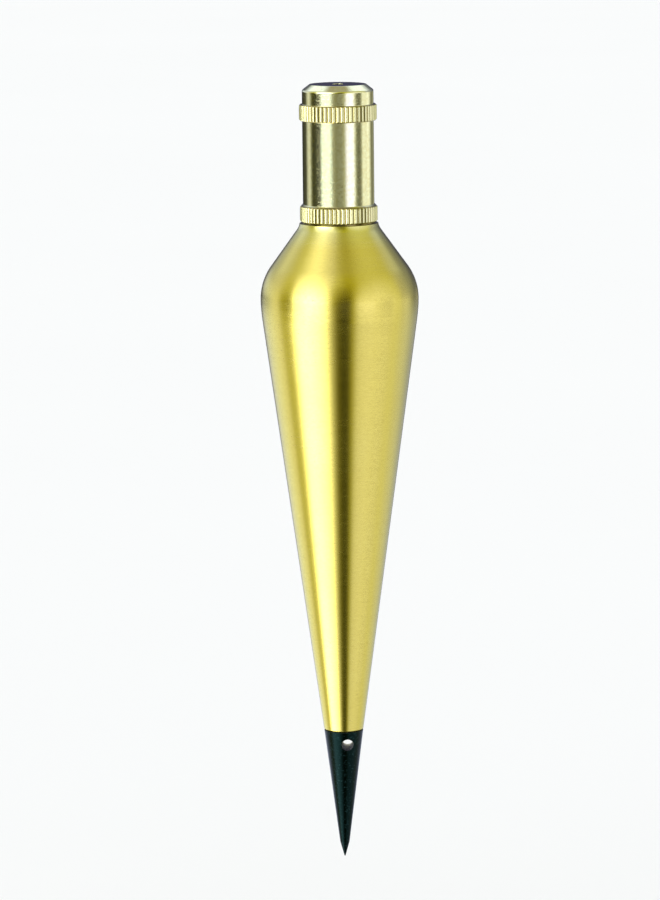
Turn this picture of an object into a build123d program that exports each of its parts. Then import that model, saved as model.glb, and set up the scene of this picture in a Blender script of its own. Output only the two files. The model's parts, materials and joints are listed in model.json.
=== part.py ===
"""A turned brass plumb bob: solid weight, screw cap with a line hole, and replaceable steel tip.

Millimetres, +Z up. The origin is where the line enters, at the centre of the cap's top face,
so the whole bob hangs below it on the Z axis. +Y points away from the side shown to the front.
"""
import os
from math import acos, atan2, cos, degrees, radians, sin, tan

from build123d import *

os.makedirs("parts", exist_ok=True)

# ---- Main sizes ----
overall_length = 173.5
max_diameter = 34.93
cap_height = 30.6
tip_length = 29.0
joint_diameter = 8.7
body_top = -cap_height
joint_z = tip_length - overall_length

# ---- Cap: outside ----
neck_diameter = 15.75
crown_chamfer_width = 1.6
crown_chamfer_height = 1.25
band_root_diameter = 16.6
band_crest_diameter = 17.15
upper_band = (-7.95, -4.35)
lower_band = (-30.25, -26.4)
seat_diameter = 16.0
rib_count = 54
rib_root_width = 0.86
rib_crest_width = 0.42
rib_end_chamfer = 0.3
lower_band_lead_in = 0.6

# ---- Cap: inside ----
line_hole_diameter = 2.4
chamber_diameter = 7.2
crown_thickness = 4.0
drill_half_angle = 59.0

# ---- Cap thread, 7/16-20, and its socket in the body ----
cap_thread_radius = 5.556
cap_thread_pitch = 1.27
spigot_length = 11.0
spigot_relief = 1.6
spigot_end_chamfer = 0.7
cap_socket_depth = 12.4

# ---- Tip thread, 10-32, and its socket in the body ----
tip_thread_radius = 2.413
tip_thread_pitch = 0.794
stud_length = 9.5
stud_relief = 1.3
stud_end_chamfer = 0.5
tip_socket_depth = 10.6

# ---- Both threads ----
thread_depth_ratio = 0.6134
thread_crest_ratio = 0.125
thread_flank_angle = 30.0
thread_clearance = 0.054
socket_mouth_chamfer = 0.4

# ---- How far ridges and ribs sink into their shaft, and cuts run past an edge ----
embed = 0.1
overcut = 0.1

# ---- Body outline ----
land_radius = 8.7
land_angle = 8.3
neck_fillet_radius = 3.2
shoulder_angle = 35.8
upper_belly_radius = 12.5
lower_belly_radius = 30.0
body_end_chamfer = 0.35

# ---- Tip outline ----
point_length = 3.3
point_base_radius = 1.05
point_end_radius = 0.12
cross_hole_diameter = 2.6
cross_hole_offset = 0.8
cross_hole_drop = 2.9


def thread_core(crest_radius, pitch):
    """Radius of the shaft that the thread ridge stands on."""
    return crest_radius - thread_depth_ratio * pitch


def thread_ridge(crest_radius, pitch, low, high):
    """Helical ridge of a 60 degree male thread, between two heights on the Z axis."""
    core = thread_core(crest_radius, pitch)
    buried = core - embed
    crest_half = thread_crest_ratio * pitch / 2
    buried_half = crest_half + (crest_radius - buried) * tan(radians(thread_flank_angle))
    with BuildPart() as ridge:
        with BuildLine():
            path = Helix(pitch, high - low, core, center=(0, 0, low))
        with BuildSketch(Plane((0, 0, low), x_dir=(1, 0, 0), z_dir=(0, -1, 0))):
            Polygon(
                (buried, -buried_half),
                (crest_radius, -crest_half),
                (crest_radius, crest_half),
                (buried, buried_half),
                align=None,
            )
        sweep(path=path, is_frenet=True)
    return ridge.part


# ---- Knurled cap: one turned piece from crown to threaded spigot ----
neck_radius = neck_diameter / 2
band_root = band_root_diameter / 2
band_crest = band_crest_diameter / 2
chamber_radius = chamber_diameter / 2
line_radius = line_hole_diameter / 2
cap_core = thread_core(cap_thread_radius, cap_thread_pitch)
spigot_end = body_top - spigot_length
chamber_top = -crown_thickness - (chamber_radius - line_radius) / tan(radians(drill_half_angle))
cap_thread = thread_ridge(
    cap_thread_radius, cap_thread_pitch, spigot_end - cap_thread_pitch, body_top - spigot_relief
)

with BuildPart() as knurled_cap:
    with BuildSketch(Plane.XZ):
        with BuildLine():
            Polyline(
                (line_radius, 0),
                (neck_radius - crown_chamfer_width, 0),
                (neck_radius, -crown_chamfer_height),
                (neck_radius, upper_band[1]),
                (band_root, upper_band[1]),
                (band_root, upper_band[0]),
                (neck_radius, upper_band[0]),
                (neck_radius, lower_band[1]),
                (band_root, lower_band[1]),
                (band_root, lower_band[0]),
                (seat_diameter / 2, lower_band[0]),
                (seat_diameter / 2, body_top),
                (cap_core, body_top),
                (cap_core, spigot_end),
                (chamber_radius, spigot_end),
                (chamber_radius, chamber_top),
                (line_radius, -crown_thickness),
                close=True,
            )
        make_face()
    revolve(axis=Axis.Z)
    add(cap_thread)
    # The end face and its chamfer trim the last turn of the thread
    with BuildSketch(Plane.XZ):
        with BuildLine():
            Polyline(
                (chamber_radius, spigot_end),
                (cap_thread_radius - spigot_end_chamfer, spigot_end),
                (cap_thread_radius + overcut, spigot_end + spigot_end_chamfer + overcut),
                (cap_thread_radius + overcut, spigot_end - 2 * cap_thread_pitch),
                (chamber_radius, spigot_end - 2 * cap_thread_pitch),
                close=True,
            )
        make_face()
    revolve(axis=Axis.Z, mode=Mode.SUBTRACT)
    for (band_bottom, band_top), top_chamfer in (
        (upper_band, rib_end_chamfer),
        (lower_band, lower_band_lead_in),
    ):
        with BuildSketch(Plane.XY.offset(band_bottom)):
            with PolarLocations(0, rib_count):
                Polygon(
                    (band_root - embed, -rib_root_width / 2),
                    (band_crest, -rib_crest_width / 2),
                    (band_crest, rib_crest_width / 2),
                    (band_root - embed, rib_root_width / 2),
                    align=None,
                )
        extrude(amount=band_top - band_bottom)
        # All the ribs of a band are chamfered together at each end
        with BuildSketch(Plane.XZ):
            for end, inward, size in ((band_bottom, 1, rib_end_chamfer), (band_top, -1, top_chamfer)):
                with BuildLine():
                    Polyline(
                        (band_crest - size, end),
                        (band_crest + overcut, end + inward * (size + overcut)),
                        (band_crest + overcut, end),
                        close=True,
                    )
                make_face()
        revolve(axis=Axis.Z, mode=Mode.SUBTRACT)
knurled_cap.part.label = "knurled_cap"
export_step(knurled_cap.part, "parts/knurled_cap.step")

# ---- Brass body: solid weight with a tapped socket at each end ----
max_radius = max_diameter / 2
joint_radius = joint_diameter / 2
fillet_drop = neck_fillet_radius * (cos(radians(land_angle)) - cos(radians(shoulder_angle)))
belly_drop = upper_belly_radius * (1 - cos(radians(shoulder_angle)))
shoulder_length = (max_radius - land_radius - fillet_drop - belly_drop) / sin(radians(shoulder_angle))
cap_socket_radius = cap_thread_radius + thread_clearance
cap_socket_end = body_top - cap_socket_depth
cap_socket_apex = cap_socket_end - cap_socket_radius / tan(radians(drill_half_angle))
tip_socket_radius = tip_thread_radius + thread_clearance
tip_socket_end = joint_z + tip_socket_depth
tip_socket_apex = tip_socket_end + tip_socket_radius / tan(radians(drill_half_angle))
land_tangent = (sin(radians(land_angle)), -cos(radians(land_angle)))

with BuildPart() as brass_body:
    with BuildSketch(Plane.XZ):
        with BuildLine():
            neck_fillet = JernArc(
                (land_radius, body_top), land_tangent, neck_fillet_radius, shoulder_angle - land_angle
            )
            shoulder = PolarLine(neck_fillet @ 1, shoulder_length, direction=neck_fillet % 1)
            upper_belly = JernArc(shoulder @ 1, shoulder % 1, upper_belly_radius, -shoulder_angle)
            # The lower cone runs from the joint to a tangent point on the lower belly arc
            belly_centre = (upper_belly @ 1) - Vector(lower_belly_radius, 0)
            to_joint = Vector(joint_radius, joint_z) - belly_centre
            cone_angle = degrees(
                atan2(-to_joint.Y, to_joint.X) - acos(lower_belly_radius / to_joint.length)
            )
            lower_belly = JernArc(upper_belly @ 1, (0, -1), lower_belly_radius, -cone_angle)
            Polyline(
                lower_belly @ 1,
                (joint_radius, joint_z),
                (tip_socket_radius, joint_z),
                (tip_socket_radius, tip_socket_end),
                (0, tip_socket_apex),
                (0, cap_socket_apex),
                (cap_socket_radius, cap_socket_end),
                (cap_socket_radius, body_top),
                neck_fillet @ 0,
            )
        make_face()
    revolve(axis=Axis.Z)
    end_edges = brass_body.edges().filter_by(GeomType.CIRCLE).group_by(Axis.Z)[0]
    chamfer(end_edges.sort_by(SortBy.RADIUS)[-1], body_end_chamfer)
    chamfer(end_edges.sort_by(SortBy.RADIUS)[0], socket_mouth_chamfer)
    top_face = brass_body.faces().filter_by(Plane.XY).sort_by(Axis.Z)[-1]
    chamfer(top_face.edges().sort_by(SortBy.RADIUS)[0], socket_mouth_chamfer)
brass_body.part.label = "brass_body"
export_step(brass_body.part, "parts/brass_body.step")

# ---- Steel tip: cone, ground point, threaded stud and cross hole ----
tip_core = thread_core(tip_thread_radius, tip_thread_pitch)
stud_end = joint_z + stud_length
point_top = point_length - overall_length
cross_hole_z = joint_z - cross_hole_drop
tip_thread = thread_ridge(
    tip_thread_radius, tip_thread_pitch, joint_z + stud_relief, stud_end + tip_thread_pitch
)

with BuildPart() as steel_tip:
    with BuildSketch(Plane.XZ):
        with BuildLine():
            Polyline(
                (0, -overall_length),
                (point_end_radius, -overall_length),
                (point_base_radius, point_top),
                (joint_radius, joint_z),
                (tip_core, joint_z),
                (tip_core, stud_end),
                (0, stud_end),
                close=True,
            )
        make_face()
    revolve(axis=Axis.Z)
    add(tip_thread)
    # The end face and its chamfer trim the last turn of the thread
    with BuildSketch(Plane.XZ):
        with BuildLine():
            Polyline(
                (0, stud_end),
                (tip_thread_radius - stud_end_chamfer, stud_end),
                (tip_thread_radius + overcut, stud_end - stud_end_chamfer - overcut),
                (tip_thread_radius + overcut, stud_end + 2 * tip_thread_pitch),
                (0, stud_end + 2 * tip_thread_pitch),
                close=True,
            )
        make_face()
    revolve(axis=Axis.Z, mode=Mode.SUBTRACT)
    # Cross hole for a bar or nail, drilled front to back just off the axis
    with BuildSketch(Plane.XZ):
        with Locations((cross_hole_offset, cross_hole_z)):
            Circle(cross_hole_diameter / 2)
    extrude(amount=joint_diameter, both=True, mode=Mode.SUBTRACT)
steel_tip.part.label = "steel_tip"
export_step(steel_tip.part, "parts/steel_tip.step")
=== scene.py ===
"""A turned brass plumb bob with a knurled screw cap and a black steel tip, in a pale studio.

Lengths are millimetres times MM, heights are on the Z axis, and every piece is turned about it.
"""
import json
import math

import bmesh
import bpy
from mathutils import Matrix, Vector


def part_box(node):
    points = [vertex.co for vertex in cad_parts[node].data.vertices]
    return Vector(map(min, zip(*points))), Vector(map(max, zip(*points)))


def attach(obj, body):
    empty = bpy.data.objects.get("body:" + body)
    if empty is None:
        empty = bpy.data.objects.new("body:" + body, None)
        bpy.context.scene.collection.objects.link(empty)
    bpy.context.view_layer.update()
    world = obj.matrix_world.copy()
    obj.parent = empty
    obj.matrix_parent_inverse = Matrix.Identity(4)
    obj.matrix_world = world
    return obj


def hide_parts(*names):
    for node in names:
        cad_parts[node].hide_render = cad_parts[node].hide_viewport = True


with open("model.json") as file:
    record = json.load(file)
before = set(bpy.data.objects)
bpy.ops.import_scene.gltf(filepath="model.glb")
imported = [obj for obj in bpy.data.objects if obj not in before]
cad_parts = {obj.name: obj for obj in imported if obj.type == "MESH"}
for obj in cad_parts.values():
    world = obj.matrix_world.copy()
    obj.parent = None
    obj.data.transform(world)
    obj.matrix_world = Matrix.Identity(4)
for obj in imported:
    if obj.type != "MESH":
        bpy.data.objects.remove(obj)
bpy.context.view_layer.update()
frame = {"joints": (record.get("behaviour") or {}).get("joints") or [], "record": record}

MM = 0.001

# ---- Places taken from the frame ----
body_low, body_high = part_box("brass_body")
cap_low, cap_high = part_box("knurled_cap")
tip_low, tip_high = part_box("steel_tip")
BODY_TOP = body_high.z
JOINT_Z = body_low.z
CAP_TOP = cap_high.z
SPIGOT_END = cap_low.z
STUD_END = tip_high.z
APEX = tip_low.z
BELLY_RADIUS = body_high.x
RIB_CREST = cap_high.x
JOINT_RADIUS = tip_high.x
mounts = {mount["name"]: mount for mount in frame["record"]["mounts"]}
LINE_HOLE_RADIUS = mounts["line_hole"]["dims"]["r_mm"] * MM
CROSS_HOLE_RADIUS = mounts["tip_cross_hole"]["dims"]["r_mm"] * MM
CROSS_HOLE_CENTRE = Vector(mounts["tip_cross_hole"]["pos_m"])
TIP_TRAVEL = next(j for j in frame["joints"] if j["name"] == "tip_drop")["range_m"][1]

# ---- Camera, in metres and radians ----
CAMERA_DISTANCE = 1.1
CAMERA_ELEVATION = math.radians(8.8)
CAMERA_ROLL = math.radians(-0.58)
TARGET_HEIGHT = -0.08565
VIEW_HEIGHT = 0.2
# How far the bob's middle stands right of and below the middle of the view
OFFSET_RIGHT = 0.00247
OFFSET_DOWN = 0.00438


def make_camera():
    """Looks at the bob from slightly above its middle, the bob a little right of the centre."""
    data = bpy.data.cameras.new("camera")
    camera = bpy.data.objects.new("camera", data)
    bpy.context.scene.collection.objects.link(camera)
    towards_camera = Vector((0, -math.cos(CAMERA_ELEVATION), math.sin(CAMERA_ELEVATION)))
    target = Vector((0, 0, TARGET_HEIGHT))
    camera.location = target + CAMERA_DISTANCE * towards_camera
    aim = target + Vector((-OFFSET_RIGHT, 0, OFFSET_DOWN))
    look = (aim - camera.location).to_track_quat("-Z", "Y")
    camera.rotation_mode = "QUATERNION"
    camera.rotation_quaternion = look @ Matrix.Rotation(CAMERA_ROLL, 4, "Z").to_quaternion()
    # The sensor's width spans the picture's taller side
    data.lens = CAMERA_DISTANCE / VIEW_HEIGHT * data.sensor_width
    data.clip_start = 0.05
    data.clip_end = 20
    bpy.context.scene.camera = camera


make_camera()


# ---- Outlines: points in the profile plane, as (radius, height) ----
FILLET_STEPS = 4
FILLET_SUPPORT = 0.04 * MM


def fillet(corners):
    """Outline through corners given as (radius, height, fillet radius); 0 leaves a corner sharp.

    Each fillet is an arc with a support point on both sides, so the straights beside it stay flat.
    """
    points = []
    last = len(corners) - 1
    for index, (radius, height, size) in enumerate(corners):
        here = Vector((radius, height))
        if size == 0 or index in (0, last):
            points.append(here)
            continue
        before = Vector(corners[index - 1][:2]) - here
        after = Vector(corners[index + 1][:2]) - here
        half = before.angle(after) / 2
        reach = size / math.tan(half)
        start = here + before.normalized() * reach
        end = here + after.normalized() * reach
        bisector = (before.normalized() + after.normalized()).normalized()
        centre = here + bisector * (size / math.sin(half))
        first_angle = math.atan2(start.y - centre.y, start.x - centre.x)
        last_angle = math.atan2(end.y - centre.y, end.x - centre.x)
        swing = (last_angle - first_angle + math.pi) % (2 * math.pi) - math.pi
        if FILLET_SUPPORT < before.length - reach:
            points.append(start + before.normalized() * FILLET_SUPPORT)
        for step in range(FILLET_STEPS + 1):
            angle = first_angle + swing * step / FILLET_STEPS
            points.append(centre + Vector((math.cos(angle), math.sin(angle))) * size)
        if FILLET_SUPPORT < after.length - reach:
            points.append(end + after.normalized() * FILLET_SUPPORT)
    return points


def arc(centre, radius, start, end, steps):
    """Outline points on an arc; angles in degrees, from +radius towards +height."""
    points = []
    for step in range(steps + 1):
        angle = math.radians(start + (end - start) * step / steps)
        points.append(centre + Vector((math.cos(angle), math.sin(angle))) * radius)
    return points


def between(start, end, steps):
    """Outline points that divide a straight into equal steps, without its two ends."""
    return [start.lerp(end, step / steps) for step in range(1, steps)]


# ---- Lathe: rings of vertices about the Z axis ----
def ring(mesh, segments, radius, height):
    """A ring of vertices, or one on the axis; radius is a length or a function of the segment."""
    if radius == 0:
        return [mesh.verts.new((0, 0, height))]
    vertices = []
    for k in range(segments):
        angle = 2 * math.pi * k / segments
        reach = radius(k) if callable(radius) else radius
        vertices.append(mesh.verts.new((reach * math.cos(angle), reach * math.sin(angle), height)))
    return vertices


def bridge(mesh, first, second):
    """Joins two rings with quads, or a ring and a vertex with triangles."""
    for k in range(max(len(first), len(second))):
        around = (
            first[k % len(first)],
            first[(k + 1) % len(first)],
            second[(k + 1) % len(second)],
            second[k % len(second)],
        )
        mesh.faces.new(tuple(dict.fromkeys(around)))


def bridge_all(mesh, rings):
    """Joins each ring with the next and returns the first and the last."""
    for first, second in zip(rings, rings[1:]):
        bridge(mesh, first, second)
    return rings[0], rings[-1]


def turn(mesh, segments, outline, last_ring=None):
    """Turns an outline, ending on last_ring if given, and returns its first and last ring."""
    rings = [ring(mesh, segments, point.x, point.y) for point in outline]
    if last_ring:
        rings.append(last_ring)
    return bridge_all(mesh, rings)


# One pitch of a thread with rounded crest and root: how high the ridge stands, as a share of its
# depth, and how far up the pitch
THREAD_FORM = (0, 0.08, 0.5, 0.94, 1, 1, 0.94, 0.5, 0.08)
THREAD_PHASE = (0, 0.1, 0.26, 0.41, 0.46, 0.54, 0.59, 0.74, 0.9)
THREAD_DEPTH_RATIO = 0.6134


def thread(mesh, lower, upper, shaft, pitch, low, high, run_outs):
    """A helical ridge round a shaft, or groove round a bore, between two rings.

    The rows of vertices climb one pitch each turn. The ridge fades out over run_outs turns at its
    lower and upper end, where the rows join the flat rings.
    """
    segments = len(lower)
    rows_per_turn = len(THREAD_FORM)
    # The rows climb one pitch more over their last turn
    turns = int((high - low) / pitch) - 1
    rows = turns * rows_per_turn
    depth = THREAD_DEPTH_RATIO * pitch

    def vertex(row, column):
        turn_number, step = divmod(row, rows_per_turn)
        along = turn_number + column / segments
        fade = min(1, along / run_outs[0], max(0, turns - along) / run_outs[1])
        radius = shaft + depth * THREAD_FORM[step] * fade
        height = low + pitch * (turn_number + THREAD_PHASE[step] + column / segments)
        angle = 2 * math.pi * column / segments
        return mesh.verts.new((radius * math.cos(angle), radius * math.sin(angle), height))

    # Once round climbs one pitch, so the last column is the first one from its second turn up
    columns = [[vertex(row, 0) for row in range(rows + rows_per_turn + 1)]]
    for column in range(1, segments):
        columns.append([vertex(row, column) for row in range(rows + 1)])
    columns.append(columns[0][rows_per_turn:])
    for left, right in zip(columns, columns[1:]):
        for row in range(rows):
            mesh.faces.new((left[row], right[row], right[row + 1], left[row + 1]))
    seam = columns[0]
    for k in range(segments - 1):
        mesh.faces.new((lower[k], lower[k + 1], columns[k + 1][0], columns[k][0]))
    mesh.faces.new((lower[-1], lower[0], *seam[: rows_per_turn + 1], columns[-2][0]))
    for k in range(1, segments):
        following = upper[(k + 1) % segments]
        mesh.faces.new((columns[k][rows], columns[k + 1][rows], following, upper[k]))
    mesh.faces.new((columns[1][rows], upper[1], upper[0], *reversed(seam[rows:])))


# The bend at which an edge counts as fully convex or hollow, and where smooth shading breaks
FULL_EDGE = math.radians(20)
SHARP_ANGLE = math.radians(35)


def mark_edges(mesh):
    """Stores on each vertex how convex (to 1) or hollow (to -1) the surface is there."""
    layer = mesh.verts.layers.float.new("edge")
    for vertex in mesh.verts:
        bends = [edge.calc_face_angle_signed(0) for edge in vertex.link_edges]
        sharpest = max(bends, key=abs)
        vertex[layer] = max(-1, min(1, sharpest / FULL_EDGE))


def finish_piece(mesh, name):
    """Makes the object, with its normals outward and its smooth shading broken at sharp edges."""
    bmesh.ops.recalc_face_normals(mesh, faces=mesh.faces)
    mark_edges(mesh)
    data = bpy.data.meshes.new(name)
    mesh.to_mesh(data)
    mesh.free()
    data.shade_smooth()
    data.set_sharp_from_angle(angle=SHARP_ANGLE)
    piece = bpy.data.objects.new(name, data)
    bpy.context.scene.collection.objects.link(piece)
    return piece


# ---- Knurled cap ----
NECK_RADIUS = 7.875 * MM
CROWN_CHAMFER_WIDTH = 1.6 * MM
CROWN_CHAMFER_HEIGHT = 1.25 * MM
CROWN_ROUND = 0.5 * MM
BAND_ROOT = 8.3 * MM
UPPER_BAND = (-4.35 * MM, -7.95 * MM)
LOWER_BAND = (-26.4 * MM, -30.25 * MM)
RIB_END_CHAMFER = 0.3 * MM
LOWER_BAND_LEAD_IN = 0.6 * MM
SEAT_RADIUS = 8.0 * MM
CHAMBER_RADIUS = 3.6 * MM
CHAMBER_TOP = -5.44 * MM
CROWN_THICKNESS = 4.0 * MM
CAP_THREAD_PITCH = 1.27 * MM
CAP_THREAD_CREST = 5.556 * MM
CAP_SHAFT = CAP_THREAD_CREST - THREAD_DEPTH_RATIO * CAP_THREAD_PITCH
SPIGOT_RELIEF = 1.2 * MM
SPIGOT_CHAMFER = 0.35 * MM
THREAD_FREE_END = 0.4 * MM
# How many turns a thread takes to fade in at its lower end and out at its upper end
CAP_RUN_OUTS = (0.4, 0.8)
RIB_COUNT = 54
# One rib, from groove to groove, as shares of the rib's height
RIB_FORM = (0, 0.2, 0.66, 0.9, 1, 1, 0.9, 0.66, 0.2)
# The rings at a band's end, as shares of its chamfer
RIB_END_LEVELS = (0, 0.2, 0.4, 0.6, 0.8, 1, 1.2)
EDGE = 0.12 * MM
SMALL_EDGE = 0.05 * MM
SPIGOT_FILLET = 2 * EDGE


def knurled_band(mesh, segments, top, bottom, top_chamfer):
    """Rings of one band of rounded ribs from top to bottom, both ends chamfered at 45 degrees."""

    def cut_ring(height, chamfer, depth):
        def radius(k):
            rib = (RIB_CREST - BAND_ROOT) * RIB_FORM[k % len(RIB_FORM)]
            return min(BAND_ROOT + rib, RIB_CREST - chamfer + depth)

        return ring(mesh, segments, radius, height)

    rings = []
    for level in RIB_END_LEVELS:
        depth = level * top_chamfer
        rings.append(cut_ring(top - depth, top_chamfer, depth))
    for level in reversed(RIB_END_LEVELS):
        depth = level * RIB_END_CHAMFER
        rings.append(cut_ring(bottom + depth, RIB_END_CHAMFER, depth))
    return bridge_all(mesh, rings)


def make_cap():
    """The cap from its crown down to the threaded spigot, and back up its bore to the line hole."""
    segments = RIB_COUNT * len(RIB_FORM)
    mesh = bmesh.new()
    crown = [
        (LINE_HOLE_RADIUS, -CROWN_THICKNESS, 0),
        (LINE_HOLE_RADIUS, CAP_TOP, SMALL_EDGE),
        (NECK_RADIUS - CROWN_CHAMFER_WIDTH, CAP_TOP, EDGE),
        (NECK_RADIUS, CAP_TOP - CROWN_CHAMFER_HEIGHT, CROWN_ROUND),
        (NECK_RADIUS, UPPER_BAND[0], SMALL_EDGE),
        (NECK_RADIUS + EDGE, UPPER_BAND[0], 0),
    ]
    neck = [
        (NECK_RADIUS + EDGE, UPPER_BAND[1], 0),
        (NECK_RADIUS, UPPER_BAND[1], SMALL_EDGE),
        (NECK_RADIUS, LOWER_BAND[0], SMALL_EDGE / 2),
        (NECK_RADIUS + SMALL_EDGE, LOWER_BAND[0], 0),
    ]
    seat = [
        (SEAT_RADIUS + SMALL_EDGE, LOWER_BAND[1], 0),
        (SEAT_RADIUS, LOWER_BAND[1], 0),
        (SEAT_RADIUS, BODY_TOP, SMALL_EDGE),
        (CAP_SHAFT, BODY_TOP, SPIGOT_FILLET),
        (CAP_SHAFT, BODY_TOP - SPIGOT_RELIEF, 0),
    ]
    inside = [
        (CAP_SHAFT, SPIGOT_END + SPIGOT_CHAMFER, 0),
        (CAP_SHAFT - SPIGOT_CHAMFER, SPIGOT_END, SMALL_EDGE),
        (CHAMBER_RADIUS, SPIGOT_END, EDGE),
        (CHAMBER_RADIUS, CHAMBER_TOP, EDGE),
        (LINE_HOLE_RADIUS + EDGE, -CROWN_THICKNESS - EDGE, 0),
    ]
    crown_start, crown_end = turn(mesh, segments, fillet(crown))
    upper_start, upper_end = knurled_band(mesh, segments, *UPPER_BAND, RIB_END_CHAMFER)
    neck_start, neck_end = turn(mesh, segments, fillet(neck))
    lower_start, lower_end = knurled_band(mesh, segments, *LOWER_BAND, LOWER_BAND_LEAD_IN)
    seat_start, seat_end = turn(mesh, segments, fillet(seat))
    inside_start, _ = turn(mesh, segments, fillet(inside), crown_start)
    bridge(mesh, crown_end, upper_start)
    bridge(mesh, upper_end, neck_start)
    bridge(mesh, neck_end, lower_start)
    bridge(mesh, lower_end, seat_start)
    thread(
        mesh, inside_start, seat_end, CAP_SHAFT, CAP_THREAD_PITCH,
        SPIGOT_END + THREAD_FREE_END, BODY_TOP - SPIGOT_RELIEF, CAP_RUN_OUTS,
    )
    return finish_piece(mesh, "cap")


# ---- Brass body ----
LAND_RADIUS = 8.7 * MM
LAND_ANGLE = 8.3
NECK_FILLET = 3.2 * MM
SHOULDER_ANGLE = 35.8
UPPER_BELLY = 12.5 * MM
LOWER_BELLY = 30.0 * MM
# Length of the stretch that eases into the cone, as a share of the arc it takes the place of
EASE_SHARE = 1.5
# How much the radius grows up the cone, per length
CONE_WIDENING = 0.13
END_CHAMFER = 0.35 * MM
MOUTH_CHAMFER = 0.4 * MM
CAP_SOCKET_RADIUS = 5.61 * MM
CAP_SOCKET_DEPTH = 12.4 * MM
TIP_SOCKET_RADIUS = 2.467 * MM
TIP_SOCKET_DEPTH = 10.6 * MM
DRILL_SLOPE = math.tan(math.radians(59))
TIP_THREAD_PITCH = 0.794 * MM
CAP_SOCKET_RUN_OUTS = (0.8, 0.5)
TIP_SOCKET_RUN_OUTS = (0.5, 0.8)
BODY_SEGMENTS = 256
NECK_STEPS = 8
SHOULDER_STEPS = 12
BELLY_STEPS = 28
EASE_STEPS = 20
CONE_STEPS = 40


def body_outline():
    """From the top land down to the joint: fillet, shoulder, belly and the long cone."""
    land = Vector((LAND_RADIUS, BODY_TOP))
    leaning = math.radians(LAND_ANGLE)
    neck_centre = land + Vector((math.cos(leaning), math.sin(leaning))) * NECK_FILLET
    outline = arc(neck_centre, NECK_FILLET, 180 + LAND_ANGLE, 180 + SHOULDER_ANGLE, NECK_STEPS)
    shoulder_start = outline[-1]
    slope = math.radians(SHOULDER_ANGLE)
    widening = BELLY_RADIUS - shoulder_start.x - UPPER_BELLY * (1 - math.cos(slope))
    shoulder_length = widening / math.sin(slope)
    shoulder_end = shoulder_start + Vector((math.sin(slope), -math.cos(slope))) * shoulder_length
    belly_centre = shoulder_end - Vector((math.cos(slope), math.sin(slope))) * UPPER_BELLY
    lower_centre = Vector((BELLY_RADIUS - LOWER_BELLY, belly_centre.y))
    to_joint = Vector((JOINT_RADIUS, JOINT_Z)) - lower_centre
    cone_angle = math.atan2(-to_joint.y, to_joint.x) - math.acos(LOWER_BELLY / to_joint.length)
    outline += between(shoulder_start, shoulder_end, SHOULDER_STEPS)
    outline += arc(belly_centre, UPPER_BELLY, SHOULDER_ANGLE, 0, BELLY_STEPS)
    # The belly eases into the cone, so that no line shows in the reflections where they meet
    step_length = EASE_SHARE * LOWER_BELLY * cone_angle / EASE_STEPS
    for step in range(EASE_STEPS):
        part = (step + 0.5) / EASE_STEPS
        lean = cone_angle * (2 - part) * part
        outline.append(outline[-1] - Vector((math.sin(lean), math.cos(lean))) * step_length)
    outline += between(outline[-1], Vector((JOINT_RADIUS, JOINT_Z)), CONE_STEPS)
    return outline


def make_body():
    """The weight's outside, with a drilled and threaded socket at each end."""
    mesh = bmesh.new()
    outline = body_outline()
    cap_socket_end = BODY_TOP - CAP_SOCKET_DEPTH
    tip_socket_end = JOINT_Z + TIP_SOCKET_DEPTH
    cap_drill = [
        Vector((0, cap_socket_end - CAP_SOCKET_RADIUS / DRILL_SLOPE)),
        Vector((CAP_SOCKET_RADIUS, cap_socket_end)),
        Vector((CAP_SOCKET_RADIUS, cap_socket_end + EDGE)),
    ]
    mouth = fillet(
        [
            (CAP_SOCKET_RADIUS, BODY_TOP - MOUTH_CHAMFER - EDGE, 0),
            (CAP_SOCKET_RADIUS, BODY_TOP - MOUTH_CHAMFER, SMALL_EDGE),
            (CAP_SOCKET_RADIUS + MOUTH_CHAMFER, BODY_TOP, SMALL_EDGE),
            (LAND_RADIUS, BODY_TOP, SMALL_EDGE),
            (*outline[1], 0),
        ]
    )
    joint_end = fillet(
        [
            (*outline[-1], 0),
            (JOINT_RADIUS + END_CHAMFER * CONE_WIDENING, JOINT_Z + END_CHAMFER, SMALL_EDGE),
            (JOINT_RADIUS - END_CHAMFER, JOINT_Z, SMALL_EDGE),
            (TIP_SOCKET_RADIUS + MOUTH_CHAMFER, JOINT_Z, SMALL_EDGE),
            (TIP_SOCKET_RADIUS, JOINT_Z + MOUTH_CHAMFER, SMALL_EDGE),
            (TIP_SOCKET_RADIUS, JOINT_Z + MOUTH_CHAMFER + EDGE, 0),
        ]
    )
    tip_drill = [
        Vector((TIP_SOCKET_RADIUS, tip_socket_end - EDGE)),
        Vector((TIP_SOCKET_RADIUS, tip_socket_end)),
        Vector((0, tip_socket_end + TIP_SOCKET_RADIUS / DRILL_SLOPE)),
    ]
    outside = mouth + outline[2:-1] + joint_end
    _, cap_bottom = turn(mesh, BODY_SEGMENTS, cap_drill)
    cap_mouth, tip_mouth = turn(mesh, BODY_SEGMENTS, outside)
    tip_top, _ = turn(mesh, BODY_SEGMENTS, tip_drill)
    # Each thread starts one EDGE above the ring below it
    thread(
        mesh, cap_bottom, cap_mouth, CAP_SOCKET_RADIUS, CAP_THREAD_PITCH,
        cap_socket_end + 2 * EDGE, BODY_TOP - MOUTH_CHAMFER - EDGE, CAP_SOCKET_RUN_OUTS,
    )
    thread(
        mesh, tip_mouth, tip_top, TIP_SOCKET_RADIUS, TIP_THREAD_PITCH,
        JOINT_Z + MOUTH_CHAMFER + 2 * EDGE, tip_socket_end - EDGE, TIP_SOCKET_RUN_OUTS,
    )
    return finish_piece(mesh, "body")


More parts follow.
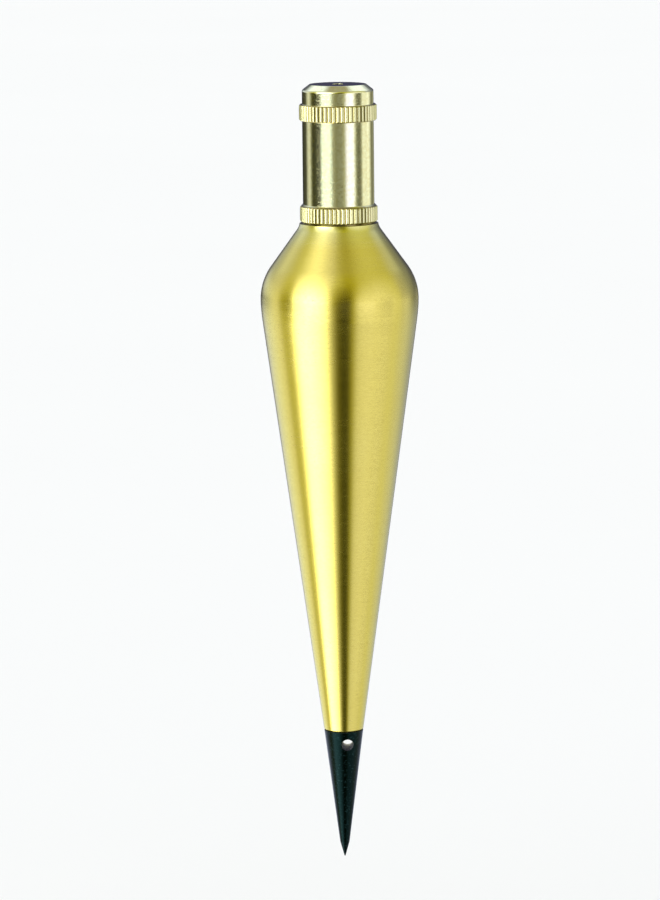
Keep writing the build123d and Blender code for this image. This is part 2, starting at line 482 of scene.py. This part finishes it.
# ---- Steel tip ----
TIP_THREAD_CREST = 2.413 * MM
TIP_SHAFT = TIP_THREAD_CREST - THREAD_DEPTH_RATIO * TIP_THREAD_PITCH
STUD_RELIEF = 1.0 * MM
STUD_CHAMFER = 0.3 * MM
POINT_LENGTH = 3.3 * MM
POINT_BASE_RADIUS = 1.05 * MM
POINT_BASE_FILLET = 0.6 * MM
POINT_END_RADIUS = 0.12 * MM
POINT_END_FILLET = 0.4 * POINT_END_RADIUS
TIP_RUN_OUTS = (0.8, 0.4)
TIP_SEGMENTS = 192
HOLE_SEGMENTS = 96
HOLE_LIP = 0.03 * MM
HOLE_OVERCUT = 2 * MM
HOLE_ROWS = 24
HOLE_ROW_MARGIN = 0.6 * MM


def make_tip():
    """The steel tip from its point up to its threaded stud, finely divided at the cross hole."""
    mesh = bmesh.new()
    point_top = APEX + POINT_LENGTH
    cone_top = Vector((JOINT_RADIUS, JOINT_Z))
    cone_bottom = Vector((POINT_BASE_RADIUS, point_top))
    hole_low = CROSS_HOLE_CENTRE.z - CROSS_HOLE_RADIUS - HOLE_ROW_MARGIN
    hole_high = CROSS_HOLE_CENTRE.z + CROSS_HOLE_RADIUS + HOLE_ROW_MARGIN
    point = fillet(
        [
            (0, APEX, 0),
            (POINT_END_RADIUS, APEX, POINT_END_FILLET),
            (*cone_bottom, POINT_BASE_FILLET),
            (*cone_top, 0),
        ]
    )[:-1]
    rows = []
    for row in range(HOLE_ROWS + 1):
        height = hole_low + (hole_high - hole_low) * row / HOLE_ROWS
        part = (height - cone_bottom.y) / (cone_top.y - cone_bottom.y)
        rows.append(cone_bottom.lerp(cone_top, part))
    shoulder = fillet(
        [
            (*rows[-1], 0),
            (*cone_top, EDGE / 2),
            (TIP_SHAFT, JOINT_Z, EDGE),
            (TIP_SHAFT, JOINT_Z + STUD_RELIEF, 0),
        ]
    )[1:]
    stud_end = fillet(
        [
            (TIP_SHAFT, STUD_END - STUD_CHAMFER, 0),
            (TIP_SHAFT - STUD_CHAMFER, STUD_END, SMALL_EDGE),
            (0, STUD_END, 0),
        ]
    )
    _, shoulder_end = turn(mesh, TIP_SEGMENTS, point + rows + shoulder)
    stud_start, _ = turn(mesh, TIP_SEGMENTS, stud_end)
    thread(
        mesh, shoulder_end, stud_start, TIP_SHAFT, TIP_THREAD_PITCH,
        JOINT_Z + STUD_RELIEF + EDGE, STUD_END - STUD_CHAMFER, TIP_RUN_OUTS,
    )
    tip = finish_piece(mesh, "tip")
    cut_cross_hole(tip)
    return tip


def cone_radius(height):
    """Radius of the tip's long cone at a height."""
    part = (height - APEX - POINT_LENGTH) / (JOINT_Z - APEX - POINT_LENGTH)
    return POINT_BASE_RADIUS + (JOINT_RADIUS - POINT_BASE_RADIUS) * part


def cut_cross_hole(tip):
    """Cuts the hole front to back through the tip, with an even 45 degree lip at both mouths."""
    mesh = bmesh.new()
    rings = []
    # Rings of the cutter: front or back, how much wider than the hole, how far out of the cone
    for side, wider, outward in (
        (-1, 2 * HOLE_LIP, HOLE_OVERCUT),
        (-1, 2 * HOLE_LIP, HOLE_LIP),
        (-1, 0, -HOLE_LIP),
        (1, 0, -HOLE_LIP),
        (1, 2 * HOLE_LIP, HOLE_LIP),
        (1, 2 * HOLE_LIP, HOLE_OVERCUT),
    ):
        vertices = []
        for k in range(HOLE_SEGMENTS):
            angle = 2 * math.pi * k / HOLE_SEGMENTS
            reach = CROSS_HOLE_RADIUS + wider
            x = CROSS_HOLE_CENTRE.x + reach * math.cos(angle)
            z = CROSS_HOLE_CENTRE.z + reach * math.sin(angle)
            surface = math.sqrt(cone_radius(z) ** 2 - x**2)
            vertices.append(mesh.verts.new((x, side * (surface + outward), z)))
        rings.append(vertices)
    bridge_all(mesh, rings)
    mesh.faces.new(rings[0])
    mesh.faces.new(rings[-1])
    drill = finish_piece(mesh, "drill")
    cut = tip.modifiers.new("cross hole", "BOOLEAN")
    cut.object = drill
    cut.solver = "EXACT"
    bpy.context.view_layer.update()
    evaluated = tip.evaluated_get(bpy.context.evaluated_depsgraph_get())
    holed = bpy.data.meshes.new_from_object(evaluated)
    tip.modifiers.clear()
    tip.data = holed
    tip.data.name = "tip"
    bpy.data.objects.remove(drill)
    tip.data.set_sharp_from_angle(angle=SHARP_ANGLE)


# ---- Materials ----
class Nodes:
    """Short calls for building a node tree."""

    def __init__(self, tree):
        self.tree = tree

    def add(self, kind, **settings):
        """A new node with its properties set."""
        node = self.tree.nodes.new(kind)
        for name, value in settings.items():
            setattr(node, name, value)
        return node

    def feed(self, socket, value):
        """Sets a socket to a constant, or links an output to it."""
        if isinstance(value, bpy.types.NodeSocket):
            self.tree.links.new(value, socket)
        else:
            socket.default_value = value

    def math(self, operation, first, second=0):
        """Result of a calculation with two numbers; a number is an output or a constant."""
        node = self.add("ShaderNodeMath", operation=operation)
        self.feed(node.inputs[0], first)
        self.feed(node.inputs[1], second)
        return node.outputs[0]

    def remap(self, value, low, high, to_low=0, to_high=1, smooth=False):
        """Maps low to high onto to_low to to_high, and holds the value beyond them."""
        node = self.add("ShaderNodeMapRange")
        if smooth:
            node.interpolation_type = "SMOOTHSTEP"
        self.feed(node.inputs["Value"], value)
        for socket, number in zip(node.inputs[1:5], (low, high, to_low, to_high)):
            socket.default_value = number
        return node.outputs["Result"]

    def mix(self, share, first, second):
        """Mixes two colours; a colour is an output or a tuple."""
        node = self.add("ShaderNodeMix", data_type="RGBA")
        self.feed(node.inputs["Factor"], share)
        self.feed(node.inputs["A"], first)
        self.feed(node.inputs["B"], second)
        return node.outputs["Result"]

    def combine(self, x, y, z):
        """A vector from three numbers."""
        node = self.add("ShaderNodeCombineXYZ")
        for socket, value in zip(node.inputs, (x, y, z)):
            self.feed(socket, value)
        return node.outputs[0]

    def split(self, vector):
        """The X, Y and Z of a vector."""
        node = self.add("ShaderNodeSeparateXYZ")
        self.feed(node.inputs[0], vector)
        return node.outputs

    def distance(self, point, centre, across):
        """Distance of a point from a line through centre; across is 0 on the line's axis, else 1."""
        offset = self.add("ShaderNodeVectorMath", operation="SUBTRACT")
        self.feed(offset.inputs[0], point)
        self.feed(offset.inputs[1], centre)
        level = self.add("ShaderNodeVectorMath", operation="MULTIPLY")
        self.feed(level.inputs[0], offset.outputs[0])
        self.feed(level.inputs[1], across)
        length = self.add("ShaderNodeVectorMath", operation="LENGTH")
        self.feed(length.inputs[0], level.outputs[0])
        return length.outputs["Value"]

    def noise(self, vector, scale, detail=3, roughness=0.55):
        """Noise of 0 to 1 about 0.5; scale is in cycles per unit of the vector."""
        node = self.add("ShaderNodeTexNoise")
        self.feed(node.inputs["Vector"], vector)
        self.feed(node.inputs["Scale"], scale)
        self.feed(node.inputs["Detail"], detail)
        self.feed(node.inputs["Roughness"], roughness)
        return node.outputs["Fac"]


def new_material(name):
    """A material, its nodes and its shader."""
    material = bpy.data.materials.new(name)
    material.use_nodes = True
    shader = material.node_tree.nodes["Principled BSDF"]
    return material, Nodes(material.node_tree), shader


def turned_radius(nodes, position):
    """Distance from the axis that the bob is turned about."""
    return nodes.distance(position, (0, 0, 0), (1, 1, 0))


# How fast a mark changes round the axis, as a share of how fast it changes along the outline
LONG_MARKS = 0.02
SHORT_MARKS = 0.3
# How fast it changes outward over a flat end, as a share of how fast it changes up a side
FLAT_MARKS = 0.7


def lathe_coordinates(nodes):
    """Position, and two vectors that change fast along the outline and slowly round the axis."""
    position = nodes.add("ShaderNodeTexCoord").outputs["Object"]
    x, y, z = nodes.split(position)
    outward = nodes.math("MULTIPLY", turned_radius(nodes, position), FLAT_MARKS)
    along = nodes.math("SUBTRACT", z, outward)

    def stretched(share):
        right = nodes.math("MULTIPLY", x, share)
        back = nodes.math("MULTIPLY", y, share)
        return nodes.combine(right, back, along)

    return position, stretched(LONG_MARKS), stretched(SHORT_MARKS)


FAINT_EDGE = 0.2
CLEAR_EDGE = 0.9


def edge_masks(nodes):
    """Worn convex edges and hollow corners, 0 to 1, from the vertices' edge values."""
    edge = nodes.add("ShaderNodeAttribute", attribute_name="edge").outputs["Fac"]
    worn = nodes.remap(edge, FAINT_EDGE, CLEAR_EDGE)
    hollow = nodes.remap(edge, -FAINT_EDGE, -CLEAR_EDGE)
    return worn, hollow


def circular_tangent(nodes, shader):
    """Turns the stretched highlight along the axis, across the lathe's circular marks."""
    tangent = nodes.add("ShaderNodeTangent", direction_type="RADIAL", axis="Z")
    nodes.feed(shader.inputs["Tangent"], tangent.outputs["Tangent"])
    shader.inputs["Anisotropic Rotation"].default_value = 0.25


def bump(nodes, shader, heights):
    """Adds up bumps; each is (height output, depth in metres)."""
    normal = None
    for height, depth in heights:
        node = nodes.add("ShaderNodeBump")
        node.inputs["Distance"].default_value = depth
        nodes.feed(node.inputs["Height"], height)
        if normal:
            nodes.feed(node.inputs["Normal"], normal)
        normal = node.outputs["Normal"]
    nodes.feed(shader.inputs["Normal"], normal)


BRUSHED_DEEP = (0.89, 0.76, 0.19, 1)
BRUSHED_PALE = (0.91, 0.79, 0.215, 1)
BRUSHED_GRAIN = (0.80, 0.67, 0.16, 1)
# Painted light that the polished cap throws on the body
BRUSHED_CAP_LIGHT = (0.90, 0.92, 0.44, 1)
BRUSHED_WORN = (0.93, 0.84, 0.42, 1)
# Painted shade for the body's hollow corners
BRUSHED_SHADE = (0.16, 0.11, 0.03, 1)
# How far below the cap the painted light reaches
CAP_LIGHT_LENGTH = 5 * MM


def satin_brass():
    """Brass brushed in the lathe: fine circular marks, a stretched highlight, faint tarnish.

    It is painted paler towards the cap: painted light that the polished cap throws on it.
    """
    material, nodes, shader = new_material("satin_brass")
    position, long_marks, short_marks = lathe_coordinates(nodes)
    fine = nodes.noise(long_marks, scale=4600, detail=2, roughness=0.6)
    coarse = nodes.noise(long_marks, scale=900, detail=3, roughness=0.6)
    grain = nodes.noise(short_marks, scale=3800, detail=2, roughness=0.6)
    clouds = nodes.noise(position, scale=55, detail=3, roughness=0.5)
    worn, hollow = edge_masks(nodes)
    clean = nodes.mix(nodes.remap(clouds, 0.35, 0.65), BRUSHED_DEEP, BRUSHED_PALE)
    brushed = nodes.mix(nodes.remap(grain, 0.35, 0.7, 0, 0.5), clean, BRUSHED_GRAIN)
    height = nodes.split(position)["Z"]
    # Painted light: the colour turns paler over the last stretch below the cap
    near_cap = nodes.remap(height, BODY_TOP - CAP_LIGHT_LENGTH, BODY_TOP, 0, 0.6)
    cap_lit = nodes.mix(near_cap, brushed, BRUSHED_CAP_LIGHT)
    edged = nodes.mix(nodes.math("MULTIPLY", worn, 0.6), cap_lit, BRUSHED_WORN)
    # Painted shade: the hollow corners are darkened
    nodes.feed(shader.inputs["Base Color"], nodes.mix(hollow, edged, BRUSHED_SHADE))
    brush_gloss = nodes.remap(coarse, 0.3, 0.7, 0.2, 0.25)
    cloud_gloss = nodes.remap(clouds, 0.3, 0.7, -0.015, 0.015)
    grain_gloss = nodes.remap(grain, 0.42, 0.72, 0, 0.05)
    gloss = nodes.math("ADD", nodes.math("ADD", brush_gloss, cloud_gloss), grain_gloss)
    nodes.feed(shader.inputs["Roughness"], gloss)
    shader.inputs["Metallic"].default_value = 1
    shader.inputs["Anisotropic"].default_value = 0.9
    circular_tangent(nodes, shader)
    bump(nodes, shader, ((fine, 0.0028 * MM), (grain, 0.0018 * MM)))
    return material


POLISHED_PALE = (0.90, 0.90, 0.54, 1)
POLISHED_DEEP = (0.84, 0.80, 0.42, 1)
KNURLED = (0.88, 0.87, 0.36, 1)
POLISHED_WORN = (0.95, 0.92, 0.62, 1)
# Painted shade for the knurled grooves and hollow corners
POLISHED_SHADE = (0.32, 0.26, 0.09, 1)
SEAT_SHADE = (0.22, 0.18, 0.05, 1)
# Heights above the bands' root where the painted shade in the grooves starts and is full
GROOVE_SHADE_START = 0.16 * MM
GROOVE_SHADE_FULL = 0.06 * MM


def polished_brass():
    """Bright brass, unevenly polished: soft orange peel, fine marks, painted shade in the knurled
    grooves and hollow corners.
    """
    material, nodes, shader = new_material("polished_brass")
    position, long_marks, _ = lathe_coordinates(nodes)
    peel = nodes.noise(position, scale=520, detail=3, roughness=0.6)
    fine = nodes.noise(long_marks, scale=4200, detail=3, roughness=0.6)
    mottle = nodes.noise(position, scale=1300, detail=3, roughness=0.65)
    worn, hollow = edge_masks(nodes)
    radius = turned_radius(nodes, position)
    height = nodes.split(position)["Z"]
    knurled = nodes.remap(radius, NECK_RADIUS + SMALL_EDGE, BAND_ROOT)
    groove = nodes.remap(radius, BAND_ROOT + GROOVE_SHADE_START, BAND_ROOT + GROOVE_SHADE_FULL)
    seat = nodes.remap(height, LOWER_BAND[1] + RIB_END_CHAMFER, LOWER_BAND[1])
    clean = nodes.mix(nodes.remap(mottle, 0.35, 0.68), POLISHED_PALE, POLISHED_DEEP)
    tinted = nodes.mix(nodes.math("MULTIPLY", knurled, 0.8), clean, KNURLED)
    edged = nodes.mix(nodes.math("MULTIPLY", worn, 0.5), tinted, POLISHED_WORN)
    # Painted shade: the knurled grooves and hollow corners are darkened
    corner = nodes.math("MULTIPLY", hollow, 0.55)
    painted_shade = nodes.math("MAXIMUM", corner, nodes.math("MULTIPLY", groove, knurled))
    darkened = nodes.mix(painted_shade, edged, POLISHED_SHADE)
    nodes.feed(shader.inputs["Base Color"], nodes.mix(seat, darkened, SEAT_SHADE))
    polish = nodes.remap(mottle, 0.3, 0.75, 0.05, 0.1)
    dulled = nodes.math("MULTIPLY", knurled, 0.2)
    nodes.feed(shader.inputs["Roughness"], nodes.math("MAXIMUM", polish, dulled))
    shader.inputs["Metallic"].default_value = 1
    bump(nodes, shader, ((peel, 0.004 * MM), (fine, 0.0003 * MM), (mottle, 0.016 * MM)))
    return material


OXIDE_DEEP = (0.0002, 0.0006, 0.0008, 1)
OXIDE_PALE = (0.0006, 0.002, 0.002, 1)
OXIDE_FLECK = (0.014, 0.036, 0.038, 1)
OXIDE_RUBBED = (0.05, 0.06, 0.06, 1)
# Painted shade for the tip's hollow corners
OXIDE_SHADE = (0.0005, 0.0008, 0.0008, 1)
# Painted shade and painted light on the cross hole's bare steel wall
WALL_SHADE = (0.02, 0.02, 0.015, 1)
WALL_BARE_LIT = (0.80, 0.78, 0.64, 1)
# Where the painted shade on the cross hole's wall is deepest and its painted light brightest, on the
# Y axis
WALL_SHADE_Y = -3.2 * MM
WALL_LIT_Y = 3 * MM


def black_steel():
    """Black oxide over turned steel, with a teal cast, faint tool rings, flecks, rubbed edges and
    painted shade in hollow corners.

    The wall of the cross hole is bare steel, with painted light towards its back mouth and painted
    shade towards its front mouth.
    """
    material, nodes, shader = new_material("black_steel")
    position, long_marks, _ = lathe_coordinates(nodes)
    rings = nodes.noise(long_marks, scale=1800, detail=4, roughness=0.65)
    blotches = nodes.noise(position, scale=420, detail=3, roughness=0.6)
    specks = nodes.noise(position, scale=2400, detail=2, roughness=0.5)
    worn, hollow = edge_masks(nodes)
    blackened = nodes.mix(nodes.remap(blotches, 0.4, 0.7), OXIDE_DEEP, OXIDE_PALE)
    flecked = nodes.mix(nodes.remap(specks, 0.57, 0.7, 0, 0.6), blackened, OXIDE_FLECK)
    rubbed = nodes.mix(nodes.math("MULTIPLY", worn, 0.4), flecked, OXIDE_RUBBED)
    # Painted shade: the hollow corners are darkened
    corner_darkened = nodes.mix(hollow, rubbed, OXIDE_SHADE)
    hole_distance = nodes.distance(position, CROSS_HOLE_CENTRE, (1, 0, 1))
    in_hole = nodes.remap(hole_distance, CROSS_HOLE_RADIUS + HOLE_LIP, CROSS_HOLE_RADIUS)
    depth = nodes.split(position)["Y"]
    # Painted shade at the front mouth and painted light at the back mouth
    wall = nodes.mix(nodes.remap(depth, WALL_SHADE_Y, WALL_LIT_Y), WALL_SHADE, WALL_BARE_LIT)
    nodes.feed(shader.inputs["Base Color"], nodes.mix(in_hole, corner_darkened, wall))
    nodes.feed(shader.inputs["Roughness"], nodes.remap(rings, 0.3, 0.7, 0.14, 0.24))
    shader.inputs["Specular IOR Level"].default_value = 0.16
    shader.inputs["Specular Tint"].default_value = (0.32, 1, 0.97, 1)
    bump(nodes, shader, ((rings, 0.004 * MM), (blotches, 0.008 * MM)))
    return material


# ---- Studio: what the metal reflects, as six rings of light and a plain ceiling ----
FULL_LEVEL = 6
BACKDROP = (0.947, 0.965, 0.956, 1)
SOFT_FILL = (1.06, 1.07, 1.065, 1)
CEILING_LEVEL = 0.4
CEILING_TINT = (1, 0.95, 0.8)
GAP_TINT = (0.95, 0.92, 1.8)
GREEN_TINT = (0.93, 1.06, 1.2)
BLUE_TINT = (1, 1, 1.5)

# Each ring is (degrees right of the front, brightness): a large soft box on the left, a dark gap in
# front, a dimmer panel on the right, and walls behind
GROUND_RING = (
    (-180, 0.08), (-173, 0.1), (-166, 0.9), (-125, 0.8), (-104, 0.5), (-90, 1.7), (-78, 5.4),
    (-62, 3.9), (-48, 2.2), (-36, 1.4), (-25, 0.6), (-12, 0.16), (0, 0.09), (12, 0.09), (20, 0.22),
    (32, 0.5), (60, 0.6), (94, 0.5), (120, 0.6), (166, 0.9), (173, 0.1), (180, 0.08),
)
LOW_RING = (
    (-180, 0.08), (-173, 0.1), (-166, 1.0), (-125, 1.0), (-106, 0.86), (-95, 0.6), (-86, 0.5),
    (-76, 0.8), (-66, 2.6), (-50, 3.4), (-35, 3.1), (-22, 2.4), (-13, 0.85), (-4, 0.12), (5, 0),
    (13, 0.06), (19, 0.42), (27, 0.85), (36, 1.0), (55, 1.02), (75, 0.98), (92, 0.8), (120, 0.7),
    (150, 0.72), (166, 1.0), (173, 0.1), (180, 0.08),
)
MIDDLE_RING = (
    (-180, 0.06), (-163, 0.15), (-154, 0.56), (-146, 0.68), (-125, 0.84), (-105, 0.8), (-94, 0.48),
    (-83, 0.33), (-76, 0.7), (-68, 3.3), (-55, 4.6), (-45, 5.6), (-35, 4.7), (-24, 3.2),
    (-16, 1.3), (-9, 0.36), (-2, 0.08), (7, 0), (14, 0.04), (20, 0.45), (28, 1.05), (36, 1.08),
    (65, 1.12), (80, 0.92), (98, 0.72), (106, 0.5), (120, 0.4), (150, 0.12), (175, 0.06),
    (180, 0.06),
)
UPPER_RING = (
    (-180, 0.06), (-162, 0.12), (-150, 0.44), (-110, 0.7), (-90, 0.6), (-80, 0.6), (-70, 1.6),
    (-58, 2.7), (-45, 3.2), (-33, 2.7), (-22, 1.9), (-12, 0.65), (-4, 0.38), (6, 0.17),
    (16, 0.2), (26, 0.52), (36, 0.8), (60, 0.9), (92, 0.7), (106, 0.5), (130, 0.28), (155, 0.2),
    (172, 0.1), (180, 0.06),
)
HIGH_RING = (
    (-180, 1.2), (-136, 1.15), (-120, 0.5), (-100, 0.62), (-86, 0.75), (-75, 1.1), (-60, 1.35),
    (-45, 1.25), (-30, 1.1), (-15, 0.9), (-5, 0.68), (12, 0.47), (25, 0.47), (40, 0.58), (60, 0.64),
    (85, 0.62), (105, 0.5), (120, 0.5), (136, 1.15), (180, 1.2),
)
# Strip lights just below the horizon, which upright sides such as the cap's neck reflect
STRIP_RING = (
    (-180, 0.04), (-147, 0.05), (-128, 0.08), (-112, 0.72), (-105, 0.74), (-96, 0.2), (-90, 0.05),
    (-62, 0.05), (-53, 0.95), (-30, 1.1), (-24, 0.9), (-17, 0.34), (-6, 0.26), (12, 0.34),
    (20, 0.48), (30, 1.2), (40, 1.45), (50, 1.3), (55, 0.85), (61, 0.28), (67, 0.14), (75, 0.15),
    (81, 0.4), (87, 1.0), (104, 0.98), (113, 1.15), (121, 0.9), (130, 0.35), (140, 0.17),
    (158, 0.4), (168, 0.04), (180, 0.04),
)
# Each wall ring fades in over what is below it, between two elevations in degrees
WALL_RINGS = (
    (LOW_RING, -26.8, -24.6),
    (MIDDLE_RING, -21, -4),
    (UPPER_RING, 8, 14),
    (HIGH_RING, 20, 44),
)
CEILING_START = (62, 74)
STRIP_START = (-9.5, -6.2)
STRIP_END = (-3.8, -1.6)
# Degrees to either side of the front: the walls turn cool between the first two
FRONT_SIDE = 105
BACK_SIDE = 135
# The gap behind lies past this side, where the walls are dimmer than this level
GAP_SIDE = 171
GAP_LEVEL = 0.07
# The tinted strips, in degrees right of the front
GREEN_STRIP = (-61, -23)
BLUE_STRIP = (24, 54)


def light_colour(level, red, green, blue):
    """Tinted light as a share of FULL_LEVEL, which the world scales back up."""
    return (level / FULL_LEVEL * red, level / FULL_LEVEL * green, level / FULL_LEVEL * blue, 1)


def how_far(value, low, high):
    """How far a value is on the way from low to high, 0 to 1."""
    return min(1, max(0, (value - low) / (high - low)))


def ground_light(_, level):
    """Light near the ground is white, and yellow where it is dim."""
    return light_colour(level, 1, 1, how_far(level, 0, 0.45))


def wall_light(degrees, level):
    """Light in front is warmer where it is dim; behind it is cooler, and the dark gap is purple."""
    side = abs(degrees)
    if side > GAP_SIDE and level < GAP_LEVEL:
        return light_colour(level, *GAP_TINT)
    if side > FRONT_SIDE:
        cool = how_far(side, FRONT_SIDE, BACK_SIDE)
        return light_colour(level, 1, 1 + 0.1 * cool, 1 + 0.45 * cool)
    green = 0.84 + 0.16 * how_far(level, 0, 0.7)
    blue = max(0.02, how_far(level, 0.42, 0.9))
    return light_colour(level, 1, green, blue)


def strip_light(degrees, level):
    """The left strip is greenish, the right one bluish, and the rest yellow where it is dim."""
    if abs(degrees) > GAP_SIDE:
        return light_colour(level, *GAP_TINT)
    if GREEN_STRIP[0] < degrees < GREEN_STRIP[1]:
        return light_colour(level, *GREEN_TINT)
    if BLUE_STRIP[0] < degrees < BLUE_STRIP[1]:
        return light_colour(level, *BLUE_TINT)
    return light_colour(level, 1, 1, min(1, 0.68 + 0.4 * level))


def light_ring(nodes, around, stops, colour):
    """A ring of light as a colour ramp over the direction round the horizon."""
    ramp = nodes.add("ShaderNodeValToRGB")
    elements = ramp.color_ramp.elements
    elements.remove(elements[1])
    for index, (degrees, level) in enumerate(stops):
        position = degrees / 360 + 0.5
        element = elements[0] if index == 0 else elements.new(position)
        element.position = position
        element.color = colour(degrees, level)
    nodes.feed(ramp.inputs["Fac"], around)
    return ramp.outputs["Color"]


def make_world():
    """The rings of light for reflections, an even fill for matt surfaces, and a plain backdrop."""
    world = bpy.data.worlds.new("studio")
    bpy.context.scene.world = world
    world.use_nodes = True
    nodes = Nodes(world.node_tree)
    x, y, z = nodes.split(nodes.add("ShaderNodeTexCoord").outputs["Generated"])
    azimuth = nodes.math("ARCTAN2", x, nodes.math("MULTIPLY", y, -1))
    around = nodes.remap(azimuth, -math.pi, math.pi)

    def rise(start, end):
        """0 below one elevation and 1 above the other, in degrees."""
        low = math.sin(math.radians(start))
        high = math.sin(math.radians(end))
        return nodes.remap(z, low, high, smooth=True)

    light = light_ring(nodes, around, GROUND_RING, ground_light)
    for stops, start, end in WALL_RINGS:
        light = nodes.mix(rise(start, end), light, light_ring(nodes, around, stops, wall_light))
    light = nodes.mix(rise(*CEILING_START), light, light_colour(CEILING_LEVEL, *CEILING_TINT))
    strip = nodes.math("SUBTRACT", rise(*STRIP_START), rise(*STRIP_END))
    light = nodes.mix(strip, light, light_ring(nodes, around, STRIP_RING, strip_light))
    reflected = nodes.add("ShaderNodeVectorMath", operation="SCALE")
    nodes.feed(reflected.inputs[0], light)
    reflected.inputs["Scale"].default_value = FULL_LEVEL
    rays = nodes.add("ShaderNodeLightPath")
    lit = nodes.mix(rays.outputs["Is Diffuse Ray"], reflected.outputs[0], SOFT_FILL)
    seen = nodes.mix(rays.outputs["Is Camera Ray"], lit, BACKDROP)
    nodes.feed(world.node_tree.nodes["Background"].inputs["Color"], seen)


FLOOR_GAP = 12 * MM
FLOOR_RADIUS = 6
FLOOR_DEEP = (0.870, 0.873, 0.871, 1)
FLOOR_PALE = (0.884, 0.887, 0.885, 1)


def make_floor():
    """A pale matt floor, below the tip where it is lowest."""
    mesh = bmesh.new()
    bmesh.ops.create_circle(mesh, cap_ends=True, segments=96, radius=FLOOR_RADIUS)
    floor = finish_piece(mesh, "floor")
    floor.location.z = APEX - TIP_TRAVEL - FLOOR_GAP
    material, nodes, shader = new_material("floor")
    position = nodes.add("ShaderNodeTexCoord").outputs["Object"]
    paper = nodes.noise(position, scale=3, detail=2)
    nodes.feed(shader.inputs["Base Color"], nodes.mix(paper, FLOOR_DEEP, FLOOR_PALE))
    shader.inputs["Roughness"].default_value = 1
    shader.inputs["Specular IOR Level"].default_value = 0
    floor.data.materials.append(material)
    floor.visible_glossy = False


make_world()
make_floor()
bpy.context.scene.view_settings.view_transform = "Standard"

for piece, body, node, material, slot in (
    (make_cap(), "cap", "knurled_cap", polished_brass(), "polished_brass"),
    (make_body(), "body", "brass_body", satin_brass(), "satin_brass"),
    (make_tip(), "tip", "steel_tip", black_steel(), "black_steel"),
):
    piece.data.materials.append(material)
    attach(piece, body)
    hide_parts(node)
